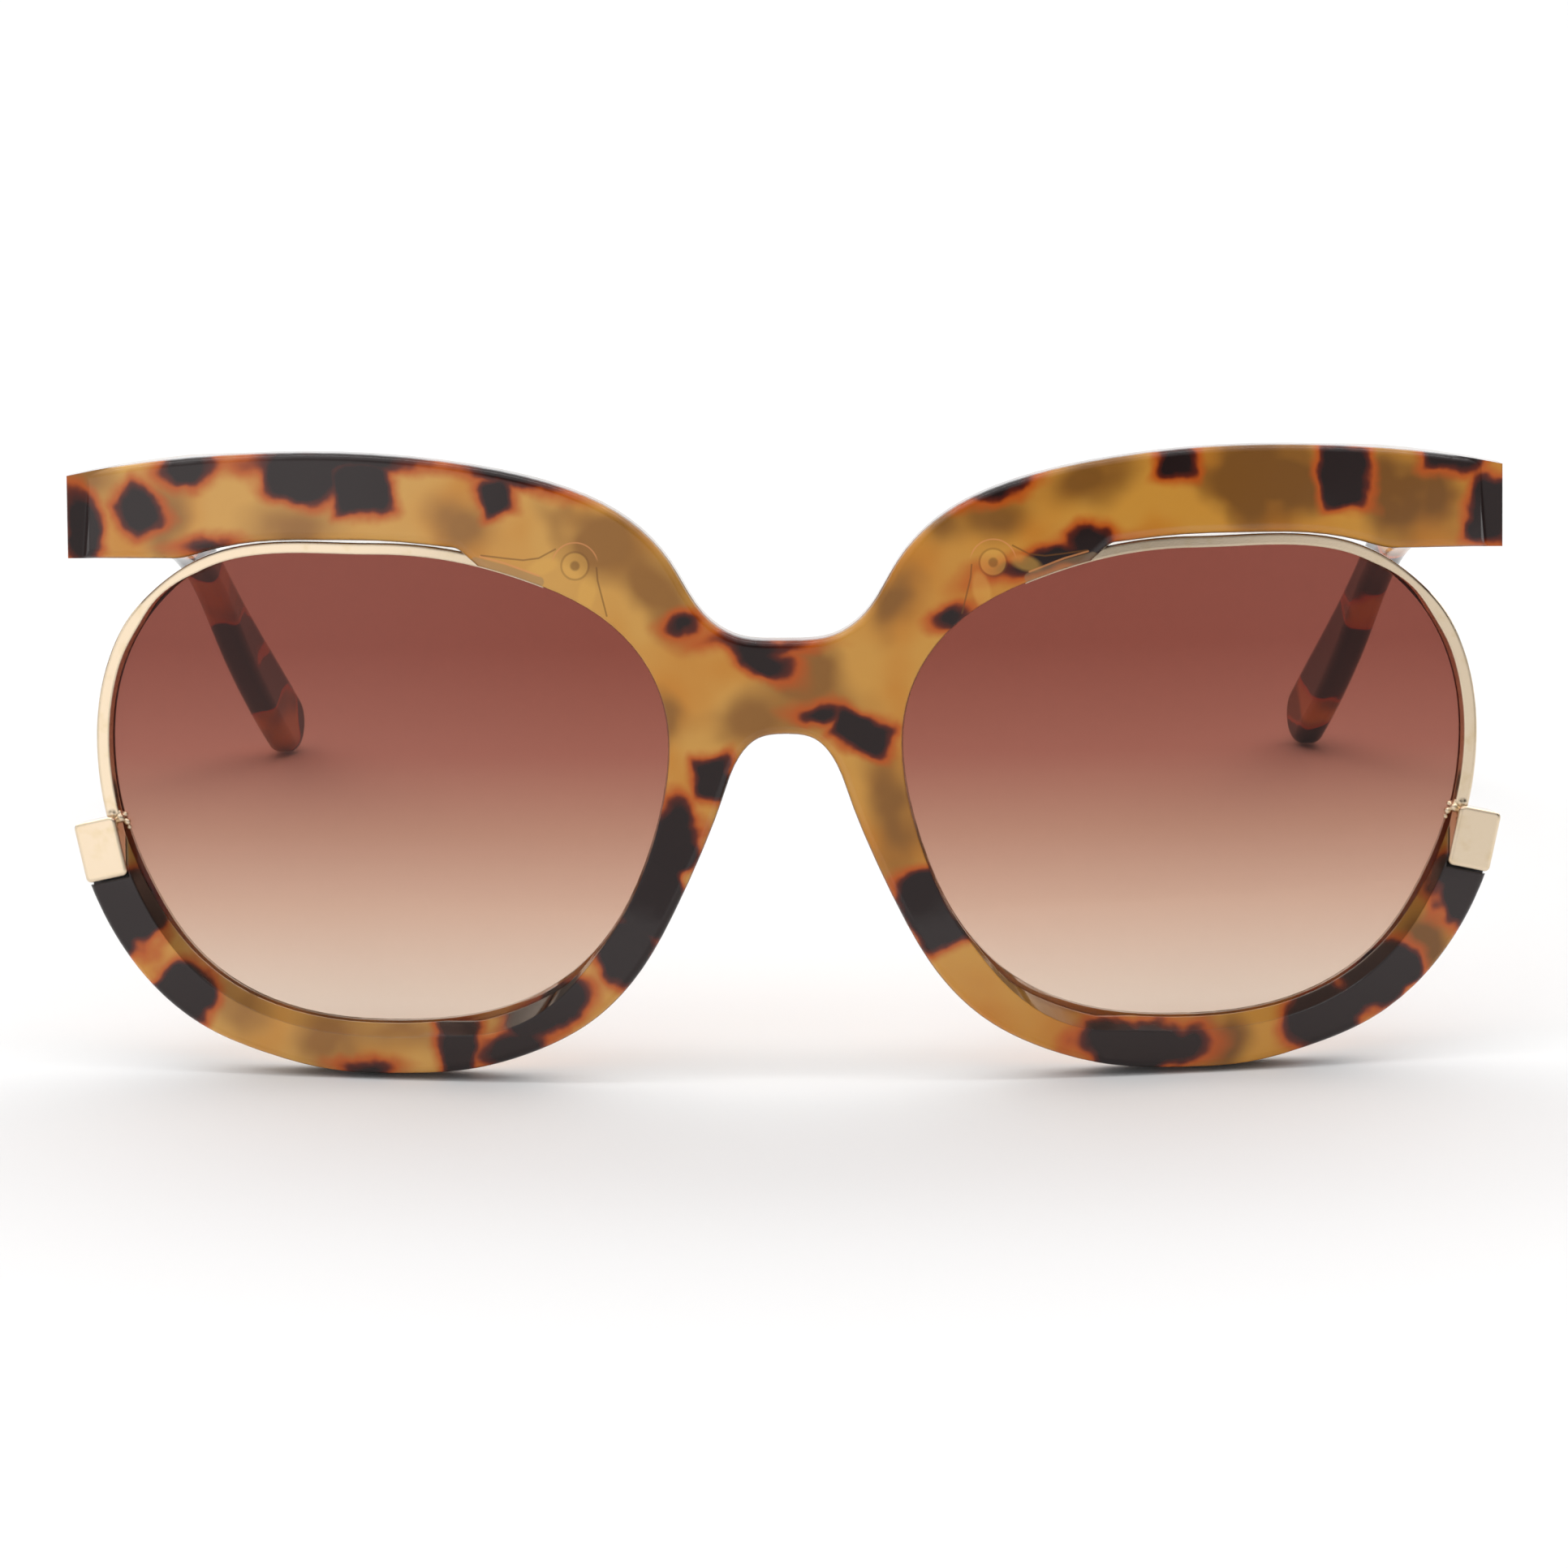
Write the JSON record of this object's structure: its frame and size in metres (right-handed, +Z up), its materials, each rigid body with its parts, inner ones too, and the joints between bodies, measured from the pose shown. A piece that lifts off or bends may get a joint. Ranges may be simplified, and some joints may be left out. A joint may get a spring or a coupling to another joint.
{
  "type": "cat eye sunglasses",
  "caption": "Browline cat eye sunglasses: thick acetate brow and lower rims, wire upper rims, gradient lenses and folding temples.",
  "frame": {"origin": "middle of the bounding box in X and Y, on the surface that the lower rims and the ear tips stand on", "axes": "+Z up, the front faces -Y, the temples run to +Y, +X is the wearer's left; temples open"},
  "size_m": [0.1482, 0.1542, 0.0638],
  "materials": {
    "tortoise_acetate": "polished tortoise acetate",
    "gradient_lens": "brown gradient, glossy",
    "polished_gold": "polished light gold",
    "gold_screw": "plain gold",
    "hinge_metal": "satin gold",
    "honey_acetate": "polished",
    "core_metal": "drawn wire"
  },
  "bodies": {
    "front": {"front_frame": "tortoise_acetate", "block_screw_left": "gold_screw", "block_screw_right": "gold_screw", "corner_block_left": "polished_gold", "corner_block_right": "polished_gold", "hinge_front_left": "hinge_metal", "hinge_front_right": "hinge_metal", "hinge_front_rivets_left": "hinge_metal", "hinge_front_rivets_right": "hinge_metal", "hinge_screw_left": "gold_screw", "hinge_screw_right": "gold_screw", "lens_left": "gradient_lens", "lens_right": "gradient_lens", "nose_pad_left": "honey_acetate", "nose_pad_right": "honey_acetate", "rim_screw_left": "gold_screw", "rim_screw_right": "gold_screw", "rim_wire_left": "polished_gold", "rim_wire_right": "polished_gold"},
    "left_arm": {"hinge_temple_left": "hinge_metal", "hinge_temple_rivets_left": "hinge_metal", "temple_core_left": "core_metal", "temple_left": "tortoise_acetate"},
    "right_arm": {"hinge_temple_right": "hinge_metal", "hinge_temple_rivets_right": "hinge_metal", "temple_core_right": "core_metal", "temple_right": "tortoise_acetate"}
  },
  "joints": [
    {"name": "left_fold", "type": "hinge", "parent": "front", "child": "left_arm", "pos_m": [0.06755, -0.05319, 0.05575], "axis": [0, 0.1392, 0.9903], "range_deg": [0, 89]},
    {"name": "right_fold", "type": "hinge", "parent": "front", "child": "right_arm", "pos_m": [-0.06755, -0.05319, 0.05575], "axis": [0, -0.1392, -0.9903], "range_deg": [0, 83]}
  ]
}
